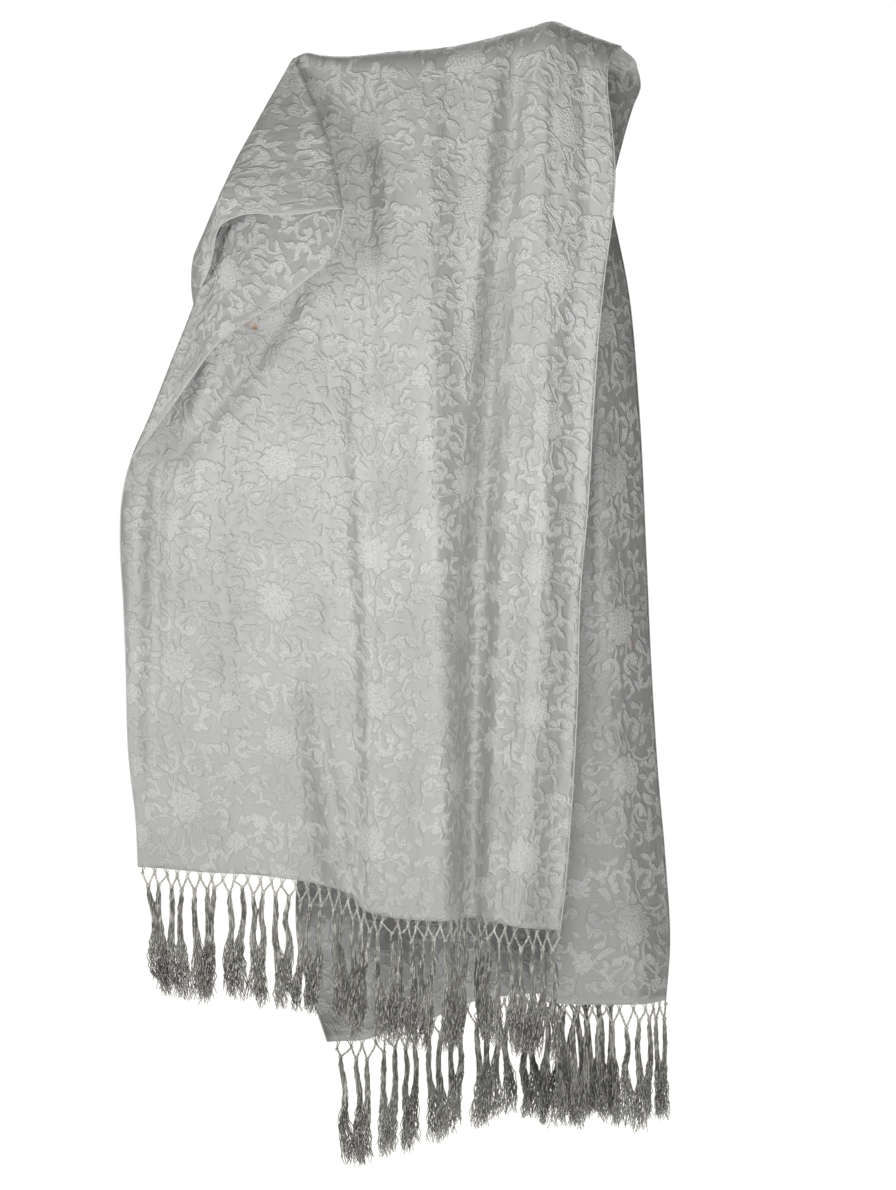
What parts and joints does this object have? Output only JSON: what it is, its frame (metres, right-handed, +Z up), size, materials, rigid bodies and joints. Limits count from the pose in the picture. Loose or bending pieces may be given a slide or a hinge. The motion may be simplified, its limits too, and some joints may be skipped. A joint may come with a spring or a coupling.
{
  "type": "jacquard shawl",
  "caption": "Long rectangular shawl of satin jacquard cloth with a knotted fringe at each end, folded over a narrow support and hanging in two falls with one turned-over corner.",
  "frame": {"origin": "under the fold at the middle of the line that the shawl hangs over, where its support would touch it", "axes": "+Z up, +X to the right of someone who looks at the front fall, -Y towards that viewer"},
  "size_m": [0.6134, 0.178, 1.2766],
  "materials": {
    "shawl_satin": "ivory-silver satin jacquard, matt flowers and scrolls on a soft sheen",
    "shawl_reverse": "reverse of the same cloth, a little duller",
    "fringe_yarn": "twisted silky yarn, taupe grey"
  },
  "bodies": {
    "root": {"front_fall": "shawl_satin", "back_fall": "shawl_satin", "over_corner": "shawl_satin", "turned_corner": "shawl_reverse", "front_fringe": "fringe_yarn", "back_fringe": "fringe_yarn"}
  },
  "joints": []
}
